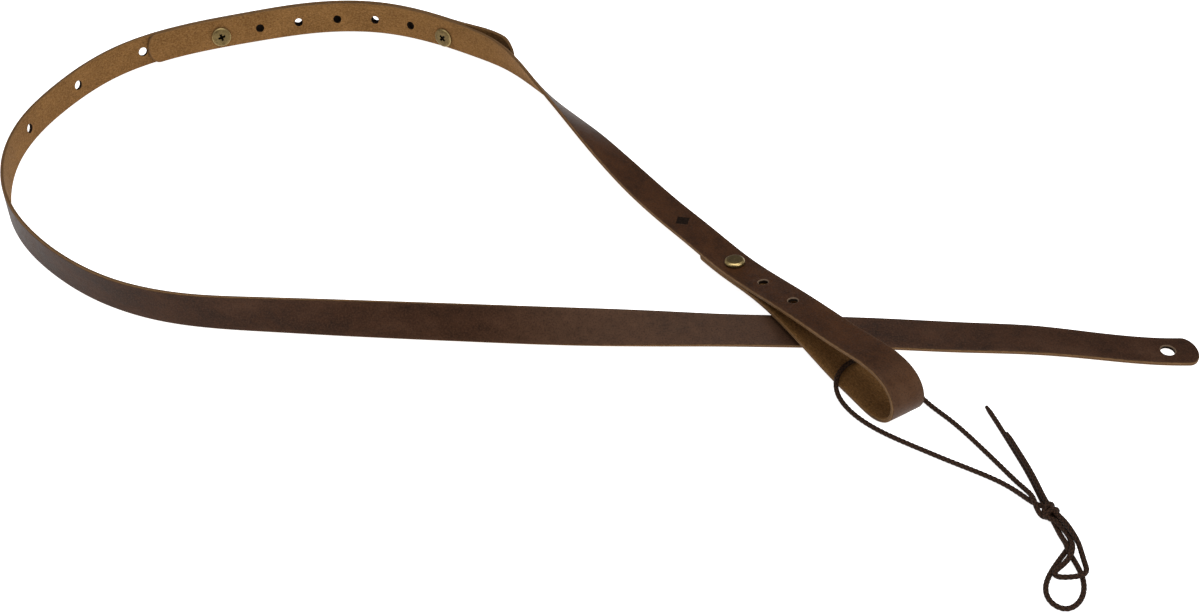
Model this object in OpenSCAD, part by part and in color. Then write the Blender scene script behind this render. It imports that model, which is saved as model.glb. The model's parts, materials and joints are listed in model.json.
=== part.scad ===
// Leather guitar strap, laid out on a flat surface. It is a long tail strap and a short headstock
// strap, held together by two screw posts. A third screw post closes the headstock end into a loop,
// and a round braided lace is tied through that loop in a bow.
// The origin is the centre of the tail button hole, on the surface the strap lies on, with +Z up.

/* [Leather] */
// Width of both straps
strap_w = 19; // [18:0.5:20]
// Thickness of one layer of leather
leather_t = 2; // [1.6:0.1:2.2]
// Bevel on the long edges
edge_bevel = 0.3; // [0.1:0.05:0.5]
// Length of the rounding at each end of a strap
tip_length = 6.5; // [5:0.5:9.5]
// Length of the tail strap beyond the centre of its button hole
tail_margin = 15; // [12:1:20]
// Length of the tail strap beyond the front adjuster
lap_margin = 50; // [20:1:52]
// Length of the headstock strap beyond the rear adjuster
head_margin = 46; // [20:1:48]
// Length of the folded end beyond the loop screw
fold_margin = 23; // [12:1:24]
// Distance along the strap from the front adjuster to the loop screw
front_to_loop = 286; // [280:1:290]

/* [Holes] */
// Diameter of the tail button hole
button_hole_d = 7; // [6:0.5:9]
// Diameter of the holes in the headstock strap
hole_d = 4.9; // [4.9:0.1:5.4]
// Diameter of the adjustment holes in the tail strap
tail_hole_d = 5.6; // [5:0.1:6]
// Distance between holes in the headstock strap
hole_pitch = 24.5; // [24:0.5:26]
// Number of headstock strap holes from one adjuster to the other
hole_count = 7; // [7:1:7]
// Number of holes in the tail strap, at every second headstock hole
tail_hole_count = 7; // [5:1:7]
// Number of spare holes between the loop screw and the loop
spare_holes = 2; // [0:1:2]
// How far the rear adjuster sits below the middle of the straps
rear_drop = 2; // [0:1:3]
// How far the front adjuster sits below the middle of the straps
front_drop = 3; // [0:1:3]
// How far the holes between the adjusters sit below the middle of the straps
lap_drop = 1; // [0:1:2]

/* [Screw posts] */
// Diameter of the cap on a post
cap_d = 10.5; // [10:0.5:12]
// Thickness of the cap
cap_h = 2.2; // [1.4:0.1:2.4]
// Diameter of a screw head
head_d = 12; // [11:0.5:12.5]
// Thickness of a screw head
head_h = 1.2; // [1:0.1:1.6]
// Outer diameter of the post's barrel
barrel_d = 4.8; // [4.7:0.1:4.8]
// Diameter of the bore in the post, for an M4 thread
post_bore_d = 4; // [4:0.05:4.1]
// Diameter of the screw's shank
shank_d = 3.9; // [3.85:0.01:3.9]
// Width of the arms of the cross recess
recess_w = 1; // [0.8:0.1:1.2]
// Length of the cross recess
recess_l = 4.2; // [3.5:0.1:5]

/* [Lace] */
// Diameter of the braided lace
lace_d = 2.2; // [1.8:0.1:2.2]

/* [Hidden] */

leather_color = [0.28, 0.17, 0.11];
lace_color = [0.16, 0.10, 0.07];
brass_color = [0.52, 0.43, 0.24];

layer_gap = 0.1;                         // between two layers of leather
stack_half = leather_t + layer_gap / 2;  // from the middle of two layers to an outer face
fold_drop = 2 * leather_t + 3 * layer_gap; // from the loop's upper layer to its folded end
cap_seat = 0.15;                         // under a cap, on leather that curves away
head_seat = 0.3;                         // under a screw head, on leather that curves towards it
screw_room = 0.2;                        // between the barrel and the screw head
drill = 3;                               // how far a drill runs past the leather
peel_start = 14;                         // where the tail strap's tip starts to curl off, past its screw
peel_h = 2.5;                            // and how far its end curls off

// The straps follow one route, the inner face of the tail strap, with the headstock strap's grain
// just under it. Each row is a control point of a smooth curve: x, y, height of the lower edge,
// then the bearing of the upper edge and how far the strap leans that way, in degrees. A strap with
// a lean of 0 stands on its edge, and one with 90 lies flat.
tail_rows = [
    [60, 2, 0, 90, 90], [30, 1.2, 0, 90, 90], [0, -1.2, 0, 90, 90], [-32, 3.6, 0, 90, 90],
    [-64, 8.5, 0, 90, 84], [-100, 9, 0, 90, 82], [-140, 12, 0, 90, 79], [-180, 13, 0, 90, 78],
    [-220, 14, 0, 90, 77], [-260, 13, 0, 90, 61], [-300, 12, 0, 90, 43], [-350, 14, 0, 90, 30],
    [-400, 16.5, 0, 90, 23], [-450, 19.5, 0, 90, 12], [-490, 22, 0, 90, 4], [-530, 35.5, 0, 60, 0]];
bend_rows = [
    [-566.5, 63.5, 0, 30, 0], [-595, 98, 0, 0, 0], [-609, 137, 0, 0, 0], [-610.5, 178, 0, 0, 0],
    [-597.5, 217, 0, -40, 0], [-575.5, 257, 0, -60, -2], [-540, 281.5, 0, -80, -5],
    [-500, 296, 0.3, -90, -8], [-460, 309.5, 0.3, -90, -9], [-420, 310.5, 0.3, -90, -9],
    [-385, 296.5, 0.4, -90, -5], [-355, 276.5, 0.7, -100, 0], [-334, 260, 0.8, -120, 14]];

// The headstock end runs nearly straight, so its rows are a distance from the loop screw, a distance
// to the left of a straight line, a height and a lean. It twists flat, rises over the tail strap,
// turns back on itself and runs under itself.
loop_screw_at = [-210, 61];
head_bearing = -58;
upper_rows = [
    [-195, 0, 1, 34], [-170, 0, 2, 48], [-145, 0, 3.5, 65], [-120, 0, 3.4, 78],
    [-90, 0, 3.2, 88], [-60, 0, 4, 90], [-30, 0, 6.8, 90], [0, 0, 7.5, 90], [30, 0.3, 13.5, 90],
    [60, 0.5, 19.5, 90], [90, 0.8, 23.5, 90]];
turn_rows = [
    [110, 1, 28.5, 90], [127, 1.2, 28.5, 90], [137, 1.2, 20, 90], [136, 1.5, 7, 90],
    [123.5, 2, -1.3, 94], [106, 2, 0.4, 97], [90, 1.8, 0.7, 97], [60, 1.2, 6.5, 93],
    [30, 0.3, 13.5 - fold_drop, 90]];
fold_rows = [for (i = [7, 6, 5, 4])
    let (r = upper_rows[i]) [r[0], r[1], r[2] - fold_drop, 90]];

function head_row(r) = [
    loop_screw_at.x + r[0] * cos(head_bearing) - r[1] * sin(head_bearing),
    loop_screw_at.y + r[0] * sin(head_bearing) + r[1] * cos(head_bearing),
    r[2], head_bearing - 90, r[3]];

route = concat(tail_rows, bend_rows, [for (r = concat(upper_rows, turn_rows, fold_rows)) head_row(r)]);

// The lace, from the tip of its long free end to the tip of the short one. It goes through the
// knot, round the large bow, up to the leather loop and back, twice round the knot, and round the
// small bow.
lace = [
    [-96.5, -39, 1.1], [-94.5, -45.5, 1.1], [-91.5, -57, 1.1], [-88.5, -69, 1.1],
    [-85.5, -81, 1.1], [-83.5, -92, 1.1],
    [-82.5, -100, 1.4], [-81.5, -107, 1.8],
    [-80, -113, 1.6], [-79, -118, 1.1], [-78, -123, 1.1], [-78, -128, 3.9], [-77.8, -132, 3],
    [-75.5, -136, 1.1], [-74.3, -141.5, 1.1], [-73.8, -149, 1.1], [-77, -158, 1.1],
    [-84, -163.5, 1.1], [-90, -160.5, 1.1], [-92, -154, 1.1], [-90, -147, 1.1],
    [-85.5, -140, 1.1], [-80.5, -133.5, 1.1], [-76.5, -128.5, 1.1], [-74, -124, 1.1],
    [-75, -117, 1.1], [-78, -111, 1.4],
    [-81.5, -106.5, 3.6], [-85.5, -104, 2],
    [-89.5, -98.5, 1.1], [-94.5, -92.5, 1.1], [-100.5, -87.5, 1.1], [-109, -82, 1.1],
    [-120, -75.5, 1.1],
    [-130, -69, 1.1], [-141, -62, 1.1], [-152, -54, 1.1], [-162, -43, 1.1], [-168, -31, 3],
    [-165.5, -20, 5.6], [-158.5, -13.5, 6.8], [-151, -10, 7], [-144, -8, 6.4], [-138, -10, 4.4],
    [-133, -17, 1.6], [-129, -27, 1.1], [-124, -37.5, 1.1], [-115.5, -47.5, 1.1],
    [-109, -57.5, 1.1], [-103, -68, 1.1], [-96.5, -79.5, 1.1], [-91, -90, 1.2],
    [-87, -98, 3],
    [-87, -103.5, 4.6], [-86.5, -108.5, 3.6], [-84, -111.5, 1.2],
    [-79, -109.5, 1.1], [-76.5, -108, 3], [-80, -109.5, 6], [-84.5, -112, 3.8],
    [-82.5, -110.5, 1.1], [-79.5, -106.5, 1.1], [-78.5, -104.5, 3], [-81.5, -106.5, 6],
    [-84.5, -109, 3.8], [-82, -113, 2.4],
    [-79.4, -114.5, 3.7], [-77.7, -118.5, 3.4], [-76, -122.5, 3.5], [-75.2, -126.5, 3.4],
    [-76.2, -133, 6.1], [-78.5, -137, 4], [-82, -140, 2.6], [-86, -143, 2.8],
    [-86.5, -146.5, 2.8], [-81, -147, 3.3], [-75.5, -146.5, 3.6], [-72, -144, 3.4],
    [-71.7, -138.5, 2], [-72.3, -134, 3.4], [-73.3, -129.5, 6], [-74.8, -123.5, 6.2],
    [-76.6, -117, 6], [-79.5, -110, 4.4], [-82, -104, 4.2],
    [-83.2, -92, 3.4], [-85.3, -81, 3.4], [-88.2, -70, 3.4], [-91, -59, 3.4]];
knot_at = [-82.2, -108.8, 3.6];
knot_size = [13.5, 10.5, 7.2];
knot_bearing = -20;

// ---- curves ----

steps = 4;                               // rings for each control point of the straps
lace_steps = 3;                          // rings for each control point of the lace

function spline_point(c, i, t) =
    (pow(1 - t, 3) * c[i] + (3 * pow(t, 3) - 6 * t * t + 4) * c[i + 1]
     + (-3 * pow(t, 3) + 3 * t * t + 3 * t + 1) * c[i + 2] + pow(t, 3) * c[i + 3]) / 6;
function spline(c, n) = [for (i = [0 : len(c) - 4], k = [0 : n - 1]) spline_point(c, i, k / n)];
function unit(v) = v / norm(v);
function across(v, t) = unit(v - (v * t) * t);
function tangent(p, i) = unit(p[min(i + 1, len(p) - 1)] - p[max(i - 1, 0)]);

rows = spline(route, steps);
row_count = len(rows);
lean_dir = [for (r = rows) [sin(r[4]) * cos(r[3]), sin(r[4]) * sin(r[3]), cos(r[4])]];
path = [for (i = [0 : row_count - 1])
    [rows[i][0], rows[i][1], rows[i][2] + strap_w / 2 * abs(lean_dir[i].z)]];
along = [for (i = [0 : row_count - 1]) tangent(path, i)];
wide = [for (i = [0 : row_count - 1]) across(lean_dir[i], along[i])];
arc = [for (i = 0, a = 0; i < row_count;
            a = i + 1 < row_count ? a + norm(path[i + 1] - path[i]) : a, i = i + 1) a];

// The strap's frame at a distance s along the route: place, along, across its width, out of its grain
function row_at(s, i = 1) = arc[i] >= s || i == row_count - 1 ? i : row_at(s, i + 1);
function mix(list, i, f) = list[i - 1] * (1 - f) + list[i] * f;
function frame_at(s) =
    let (i = row_at(s), f = (s - arc[i - 1]) / (arc[i] - arc[i - 1]), t = unit(mix(along, i, f)),
         w = across(mix(wide, i, f), t))
    [mix(path, i, f), t, w, cross(w, t)];

// Distances along the route
function nearest(at, first, last, best) =
    first > last ? best
    : nearest(at, first + 1, last,
              norm([path[first].x, path[first].y] - at) < norm([path[best].x, path[best].y] - at)
              ? first : best);
head_first = steps * (len(tail_rows) + len(bend_rows));
turn_first = head_first + steps * len(upper_rows);
return_first = turn_first + steps * 4;
button_s = arc[nearest([0, 0], 0, steps * 4, 0)];
loop_s = arc[nearest(loop_screw_at, head_first, turn_first, head_first)];
return_s = arc[nearest(loop_screw_at, return_first, row_count - 1, return_first)];
front_s = loop_s - front_to_loop;
rear_s = front_s - (hole_count - 1) * hole_pitch;

// ---- leather ----

// Cross-section of a strap: across the width, then through the thickness
function section(half, from, to) = let (b = edge_bevel) [
    [half - b, to], [half, to - b], [half, from + b], [half - b, from],
    [b - half, from], [-half, from + b], [-half, to - b], [b - half, to]];

// Stations [s, half width] from one rounded tip to the other
tip_angles = [15, 30, 45, 60, 75];
tip_blunt = 1;                           // half width of the very end
function tip(s, way) = [for (a = tip_angles)
    [s + way * tip_length * (1 - cos(a)), max(tip_blunt, strap_w / 2 * sin(a))]];
function reversed(list) = [for (i = [len(list) - 1 : -1 : 0]) list[i]];
function stations(s0, s1) = concat(
    [[s0, tip_blunt]], tip(s0, 1),
    [for (a = arc) if (a > s0 + tip_length && a < s1 - tip_length) [a, strap_w / 2]],
    reversed(tip(s1, -1)), [[s1, tip_blunt]]);

module sweep(rings) {
    n = len(rings[0]);
    last = len(rings) - 1;
    polyhedron(
        points = [for (r = rings, p = r) p],
        faces = concat(
            [[for (k = [0 : n - 1]) k]],
            [for (i = [0 : last - 1], k = [0 : n - 1], half = [0, 1])
                let (a = i * n + k, b = i * n + (k + 1) % n, c = a + n, d = b + n)
                half == 0 ? [a, c, b] : [b, c, d]],
            [[for (k = [n - 1 : -1 : 0]) last * n + k]]));
}

// One layer of leather between two distances, from one depth to another out of the route's face.
// Past lift_s the layer peels away, to lift_h at its end.
module strap(s0, s1, from, to, lift_s = 1e6, lift_h = 0) {
    sweep([for (st = stations(s0, s1))
        let (f = frame_at(st[0]), peel = lift_h * pow(max(0, (st[0] - lift_s) / (s1 - lift_s)), 2))
        [for (q = section(st[1], from, to)) f[0] + q[0] * f[2] + (q[1] + peel) * f[3]]]);
}

// Children placed at a distance along the route and a drop towards its lower edge, with +X along it
// and +Z out of the grain
module on_route(s, drop = 0) {
    f = frame_at(s);
    place = f[0] - drop * f[2];
    multmatrix([for (r = [0 : 2]) [f[1][r], f[2][r], f[3][r], place[r]]]) children();
}

module punch(s, d, from, to, drop = 0) {
    on_route(s, drop) translate([0, 0, from]) cylinder(d = d, h = to - from, $fn = 32);
}

// How far hole i, counted back from the front adjuster, sits below the middle of the straps
function hole_drop(i) =
    i == 0 ? front_drop : i < hole_count - 1 ? lap_drop : i == hole_count - 1 ? rear_drop : 0;

module tail_strap() {
    color(leather_color)
    difference() {
        strap(button_s - tail_margin, front_s + lap_margin, 0, leather_t, front_s + peel_start, peel_h);
        translate([0, 0, -drill]) cylinder(d = button_hole_d, h = leather_t + 2 * drill, $fn = 48);
        for (i = [0 : tail_hole_count - 1])
            punch(front_s - 2 * i * hole_pitch, tail_hole_d, -1, leather_t + drill, hole_drop(2 * i));
    }
}

module headstock_strap() {
    color(leather_color)
    difference() {
        strap(rear_s - head_margin, return_s + fold_margin, -layer_gap - leather_t, -layer_gap);
        for (i = [0 : hole_count - 1])
            punch(front_s - i * hole_pitch, hole_d, -leather_t - drill, 1, hole_drop(i));
        punch(loop_s, hole_d, -fold_drop - drill, drill);
        if (spare_holes > 0) for (i = [1 : spare_holes])
            punch(loop_s + i * hole_pitch, hole_d, -leather_t - 1, 1);
    }
}

// ---- screw posts, with the middle of the two layers at the origin and the cap on +Z ----

module post() {
    barrel_end = -stack_half - head_seat + screw_room;
    bevel = 0.45;
    cap_z = stack_half + cap_seat;
    color(brass_color)
    rotate_extrude($fn = 64)
    polygon([
        [post_bore_d / 2, barrel_end], [barrel_d / 2, barrel_end], [barrel_d / 2, cap_z],
        [cap_d / 2, cap_z], [cap_d / 2, cap_z + cap_h - 2 * bevel],
        [cap_d / 2 - 2 * bevel, cap_z + cap_h], [0, cap_z + cap_h],
        [0, cap_z + cap_h / 4], [post_bore_d / 2, cap_z + cap_h / 4]]);
}

module screw() {
    head_z = -stack_half - head_seat;
    shank_top = stack_half + cap_seat;
    bevel = 0.35;
    color(brass_color)
    difference() {
        rotate_extrude($fn = 64)
        polygon([
            [0, head_z - head_h], [head_d / 2 - 2 * bevel, head_z - head_h],
            [head_d / 2, head_z - head_h + bevel], [head_d / 2, head_z], [shank_d / 2, head_z],
            [shank_d / 2, shank_top - bevel], [shank_d / 2 - bevel, shank_top], [0, shank_top]]);
        for (turn = [0, 90])
            rotate([0, 0, turn])
            translate([-recess_l / 2, -recess_w / 2, head_z - head_h - 1])
            cube([recess_l, recess_w, 1 + 0.8 * head_h]);
    }
}

lap_middle = -layer_gap / 2;             // of the two straps, out of the route's face
fold_middle = -layer_gap - stack_half;   // of the loop's two layers
module rear_adjuster() { on_route(rear_s, rear_drop) translate([0, 0, lap_middle]) children(); }
module front_adjuster() { on_route(front_s, front_drop) translate([0, 0, lap_middle]) children(); }
module loop_fastener() { on_route(loop_s) translate([0, 0, fold_middle]) children(); }

// ---- lace ----

// A round tube along control points first to last, with its ends square
module tube(first, last) {
    part = [for (i = [first : last]) lace[i]];
    ends = len(part) - 1;
    clamped = concat([2 * part[0] - part[1]], part, [2 * part[ends] - part[ends - 1]]);
    p = concat(spline(clamped, lace_steps), [part[ends]]);
    color(lace_color)
    sweep([for (i = [0 : len(p) - 1])
        let (t = tangent(p, i), w = across([0, 0, 1], t), n = cross(w, t))
        [for (k = [0 : 7]) p[i] + lace_d / 2 * (cos(45 * k + 22.5) * w + sin(45 * k + 22.5) * n)]]);
}

module lace_tie_loop() { tube(28, 53); }
module lace_large_bow() { tube(8, 26); }
module lace_small_bow() { tube(66, 83); }
module lace_long_end() { tube(0, 7); }
module lace_short_end() { tube(84, 88); }
module lace_knot() {
    color(lace_color)
    translate(knot_at) rotate([0, 0, knot_bearing]) resize(knot_size) sphere(d = 1, $fn = 24);
}

tail_strap();
headstock_strap();
rear_adjuster() post();  // rear_adjuster_post
rear_adjuster() screw();  // rear_adjuster_screw
front_adjuster() post();  // front_adjuster_post
front_adjuster() screw();  // front_adjuster_screw
loop_fastener() post();  // loop_post
loop_fastener() screw();  // loop_screw
lace_tie_loop();
lace_knot();
lace_large_bow();
lace_small_bow();
lace_long_end();
lace_short_end();
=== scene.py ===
"""Looks for the leather guitar strap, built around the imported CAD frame.

Lengths are in metres unless a name says millimetres. The two straps follow the same route as in the
CAD source, and are swept here as fine meshes with real punched holes. The lace is one braided cord.
"""

import json
import math

import bpy
import numpy as np
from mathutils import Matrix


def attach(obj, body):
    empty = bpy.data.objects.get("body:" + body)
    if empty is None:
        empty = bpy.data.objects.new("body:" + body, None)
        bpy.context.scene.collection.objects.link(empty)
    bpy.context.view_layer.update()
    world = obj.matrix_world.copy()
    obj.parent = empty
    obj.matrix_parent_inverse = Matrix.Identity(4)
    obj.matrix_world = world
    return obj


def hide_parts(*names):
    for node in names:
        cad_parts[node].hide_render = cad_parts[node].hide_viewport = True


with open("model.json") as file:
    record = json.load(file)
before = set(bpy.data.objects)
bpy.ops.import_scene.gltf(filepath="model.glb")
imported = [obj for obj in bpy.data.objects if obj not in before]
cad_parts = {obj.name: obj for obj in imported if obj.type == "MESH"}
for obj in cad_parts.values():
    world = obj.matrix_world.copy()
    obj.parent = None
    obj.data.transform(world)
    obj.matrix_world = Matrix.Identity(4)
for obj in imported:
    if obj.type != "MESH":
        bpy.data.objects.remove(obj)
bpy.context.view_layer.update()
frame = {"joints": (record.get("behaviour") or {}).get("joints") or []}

MM = 0.001

# ---- camera -------------------------------------------------------------------------------------

CAMERA_AT = (-0.2798, -0.6150, 0.5464)
CAMERA_DOWN = 40  # degrees below the horizon


def make_camera():
    data = bpy.data.cameras.new("camera")
    data.lens = 50
    data.sensor_width = 36
    data.clip_start = 0.01
    data.clip_end = 50
    camera = bpy.data.objects.new("camera", data)
    camera.location = CAMERA_AT
    camera.rotation_euler = (math.radians(90 - CAMERA_DOWN), 0, 0)
    bpy.context.scene.collection.objects.link(camera)
    bpy.context.scene.camera = camera


make_camera()

# ---- curves -------------------------------------------------------------------------------------


def spline(control, steps):
    """A uniform cubic B-spline through a list of control rows, with that many points to a span."""
    c = np.array(control, float)
    t = (np.arange(steps) / steps)[:, None]
    weights = ((1 - t) ** 3, 3 * t**3 - 6 * t**2 + 4, -3 * t**3 + 3 * t**2 + 3 * t + 1, t**3)
    spans = [sum(w * c[i + k] for k, w in enumerate(weights)) / 6 for i in range(len(c) - 3)]
    return np.concatenate(spans)


def unit(v):
    return v / np.linalg.norm(v, axis=-1, keepdims=True)


def dot(a, b):
    return np.sum(a * b, axis=-1, keepdims=True)


def run_length(points):
    steps = np.linalg.norm(np.diff(points, axis=0), axis=1)
    return np.concatenate([[0], np.cumsum(steps)])


def ease(x, low, high):
    """0 below low, 1 above high, and smooth between."""
    t = np.clip((x - low) / (high - low), 0, 1)
    return t * t * (3 - 2 * t)


# ---- meshes -------------------------------------------------------------------------------------


def add_mesh(name, points, faces, materials, slots=None, attributes=None, sharp=None):
    """A smooth mesh object. slots gives each face's material, and attributes are per point."""
    mesh = bpy.data.meshes.new(name)
    mesh.from_pydata([tuple(p) for p in points], [], faces)
    for material in materials:
        mesh.materials.append(material)
    if slots is not None:
        mesh.polygons.foreach_set("material_index", np.array(slots, np.int32))
    for key, values in (attributes or {}).items():
        values = np.array(values, np.float32)
        kind = "FLOAT_VECTOR" if values.ndim == 2 else "FLOAT"
        layer = mesh.attributes.new(key, kind, "POINT")
        layer.data.foreach_set("vector" if values.ndim == 2 else "value", values.ravel())
    mesh.polygons.foreach_set("use_smooth", np.ones(len(mesh.polygons), bool))
    if sharp is not None:
        mesh.set_sharp_from_angle(angle=math.radians(sharp))
    mesh.validate()
    mesh.update()
    made = bpy.data.objects.new(name, mesh)
    bpy.context.scene.collection.objects.link(made)
    return made


# ---- materials ----------------------------------------------------------------------------------


class Paint:
    """A material under construction: short calls that add nodes and wire them up."""

    def __init__(self, name):
        self.material = bpy.data.materials.new(name)
        self.material.use_nodes = True
        self.nodes = self.material.node_tree.nodes
        self.links = self.material.node_tree.links
        self.shader = self.nodes["Principled BSDF"]

    def put(self, socket, value):
        """Sets an input to a number, a colour or another node's output."""
        if isinstance(value, bpy.types.NodeSocket):
            self.links.new(value, socket)
        elif isinstance(value, (tuple, list)) and len(value) == 3 and socket.type == "RGBA":
            socket.default_value = (*value, 1)
        else:
            socket.default_value = value

    def set(self, **values):
        for key, value in values.items():
            self.put(self.shader.inputs[key.replace("_", " ")], value)

    def attribute(self, key):
        node = self.nodes.new("ShaderNodeAttribute")
        node.attribute_name = key
        return node

    def scaled(self, vector, x, y, z):
        node = self.nodes.new("ShaderNodeMapping")
        self.put(node.inputs["Vector"], vector)
        node.inputs["Scale"].default_value = (x, y, z)
        return node.outputs["Vector"]

    def noise(self, vector, scale, detail=4, rough=0.55, warp=0.0):
        node = self.nodes.new("ShaderNodeTexNoise")
        self.put(node.inputs["Vector"], vector)
        node.inputs["Scale"].default_value = scale
        node.inputs["Detail"].default_value = detail
        node.inputs["Roughness"].default_value = rough
        node.inputs["Distortion"].default_value = warp
        return node.outputs["Fac"]

    def cells(self, vector, scale, feature="F1"):
        node = self.nodes.new("ShaderNodeTexVoronoi")
        node.feature = feature
        self.put(node.inputs["Vector"], vector)
        node.inputs["Scale"].default_value = scale
        return node.outputs["Distance"]

    def ramp(self, value, *stops):
        """Maps 0 to 1 through (place, colour or grey) stops."""
        node = self.nodes.new("ShaderNodeValToRGB")
        self.put(node.inputs["Fac"], value)
        elements = node.color_ramp.elements
        while len(elements) < len(stops):
            elements.new(0.5)
        for element, (place, colour) in zip(elements, stops):
            element.position = place
            grey = isinstance(colour, (int, float))
            element.color = (colour, colour, colour, 1) if grey else (*colour, 1)
        return node.outputs["Color"]

    def mix(self, fac, a, b):
        node = self.nodes.new("ShaderNodeMix")
        node.data_type = "RGBA"
        self.put(node.inputs[0], fac)
        self.put(node.inputs[6], a)
        self.put(node.inputs[7], b)
        return node.outputs[2]

    def math(self, operation, a, b=0.0, clamp=False):
        node = self.nodes.new("ShaderNodeMath")
        node.operation = operation
        node.use_clamp = clamp
        self.put(node.inputs[0], a)
        self.put(node.inputs[1], b)
        return node.outputs[0]

    def bump(self, height, distance, strength=1.0, normal=None):
        node = self.nodes.new("ShaderNodeBump")
        node.inputs["Strength"].default_value = strength
        node.inputs["Distance"].default_value = distance
        self.put(node.inputs["Height"], height)
        if normal is not None:
            self.put(node.inputs["Normal"], normal)
        return node.outputs["Normal"]


def grain_leather(name, dark, mid, light, reddish):
    """Waxed full-grain leather: clouded dye, fine pores, and pale pull-up where it is stretched, with
    paler wear at the edges and a painted sheen along part of the strap.
    """
    p = Paint(name)
    place = p.attribute("strap_uvd").outputs["Vector"]
    wear_and_painted_sheen = p.attribute("wear_and_painted_sheen").outputs["Fac"]
    cloud = p.noise(p.scaled(place, 1, 1.6, 1), 38, detail=6, rough=0.62, warp=0.3)
    mottle = p.noise(place, 210, detail=5, rough=0.65)
    streak = p.noise(p.scaled(place, 0.25, 1.6, 1), 260, detail=3)
    speck = p.noise(place, 1100, detail=3, rough=0.75)
    fine = p.noise(place, 2600, detail=3)
    pores = p.cells(place, 1500)
    creases = p.cells(p.scaled(place, 1, 0.8, 1), 700, feature="DISTANCE_TO_EDGE")

    base = p.ramp(cloud, (0.34, dark), (0.52, mid), (0.72, light))
    base = p.mix(p.ramp(mottle, (0.35, 0.0), (0.75, 0.55)), base, reddish)
    base = p.mix(p.ramp(streak, (0.45, 0.0), (0.8, 0.25)), base, dark)
    # Paled by pull-up at bends and wear at the edges, and by a painted sheen along part of the tail
    # strap.
    pull = p.math("MULTIPLY", wear_and_painted_sheen, p.ramp(mottle, (0.25, 0.35), (0.7, 1.0)))
    base = p.mix(pull, base, p.mix(0.5, light, (0.100, 0.055, 0.032)))
    base = p.mix(p.ramp(pores, (0.05, 0.35), (0.4, 0.0)), base, dark)
    base = p.mix(p.ramp(speck, (0.36, 0.5), (0.5, 0.0)), base, dark)
    base = p.mix(p.ramp(speck, (0.5, 0.0), (0.66, 0.65)), base, light)

    pits = p.ramp(pores, (0.0, 0.0), (0.45, 0.6))
    height = p.math("ADD", pits, p.ramp(creases, (0.0, 0.0), (0.12, 0.4)))
    height = p.math("ADD", height, p.math("MULTIPLY", fine, 0.35))
    normal = p.bump(height, 0.00009, 0.55)
    normal = p.bump(mottle, 0.0006, 0.25, normal)
    rough = p.ramp(cloud, (0.3, 0.42), (0.7, 0.54))
    rough = p.mix(0.35, rough, p.ramp(mottle, (0.3, 0.40), (0.7, 0.62)))
    p.set(Base_Color=base, Roughness=rough, Normal=normal, Specular_IOR_Level=0.08)
    return p.material


def suede_leather(name):
    """The flesh side: tan, soft, with a short nap and longer fibres that lie along the strap."""
    p = Paint(name)
    place = p.attribute("strap_uvd").outputs["Vector"]
    patches = p.noise(p.scaled(place, 1, 1.3, 1), 60, detail=4, rough=0.6)
    nap = p.noise(place, 900, detail=5, rough=0.75)
    fibre = p.noise(p.scaled(place, 0.35, 1.5, 1), 1500, detail=4, rough=0.7, warp=0.6)
    base = p.ramp(patches, (0.3, (0.118, 0.054, 0.014)), (0.7, (0.184, 0.090, 0.027)))
    base = p.mix(p.ramp(nap, (0.42, 0.0), (0.65, 0.75)), base, (0.270, 0.140, 0.050))
    base = p.mix(p.ramp(fibre, (0.34, 0.75), (0.52, 0.0)), base, (0.058, 0.026, 0.007))
    # Painted shade: the flesh side is darkened to near black under the other strap, and a little
    # inside the loop.
    base = p.mix(p.attribute("stain").outputs["Fac"], base, (0.010, 0.006, 0.004))
    height = p.math("ADD", p.math("MULTIPLY", nap, 0.6), p.math("MULTIPLY", fibre, 0.6))
    normal = p.bump(height, 0.00035, 0.7)
    p.set(Base_Color=base, Roughness=0.93, Normal=normal)
    p.set(Specular_IOR_Level=0.1, Sheen_Weight=0.05, Sheen_Roughness=0.4)
    p.set(Sheen_Tint=(0.75, 0.55, 0.35))
    return p.material


def edge_leather(name):
    """The cut edge: burnished, pale near the grain and the flesh, darker in the middle."""
    p = Paint(name)
    uvd = p.attribute("strap_uvd").outputs["Vector"]
    split = p.nodes.new("ShaderNodeSeparateXYZ")
    p.put(split.inputs[0], uvd)
    depth = p.math("MULTIPLY", split.outputs["Z"], 500)
    along = p.noise(p.scaled(uvd, 0.4, 1, 2.5), 900, detail=5, rough=0.7)
    blotch = p.noise(uvd, 120, detail=4)
    wobble = p.math("ADD", depth, p.math("MULTIPLY", p.math("SUBTRACT", along, 0.5), 0.30))
    base = p.ramp(
        wobble,
        (0.02, (0.055, 0.028, 0.013)),
        (0.14, (0.175, 0.098, 0.046)),
        (0.40, (0.120, 0.065, 0.029)),
        (0.66, (0.082, 0.043, 0.018)),
        (0.90, (0.165, 0.088, 0.034)),
    )
    base = p.mix(p.ramp(blotch, (0.4, 0.0), (0.75, 0.5)), base, (0.085, 0.046, 0.021))
    base = p.mix(p.ramp(along, (0.3, 0.45), (0.5, 0.0)), base, (0.050, 0.026, 0.012))
    normal = p.bump(along, 0.00018, 0.6)
    p.set(Base_Color=base, Roughness=p.ramp(blotch, (0.3, 0.5), (0.7, 0.68)), Normal=normal)
    p.set(Specular_IOR_Level=0.04)
    return p.material


def debossed_leather(name):
    """The floor of the stamped ornament, burnt darker by the stamp."""
    p = Paint(name)
    place = p.attribute("strap_uvd").outputs["Vector"]
    mottle = p.noise(place, 900, detail=4)
    p.set(Base_Color=p.ramp(mottle, (0.3, (0.006, 0.004, 0.003)), (0.7, (0.016, 0.010, 0.007))))
    p.set(Roughness=0.9, Specular_IOR_Level=0.02, Normal=p.bump(mottle, 0.0001, 0.4))
    return p.material


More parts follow.
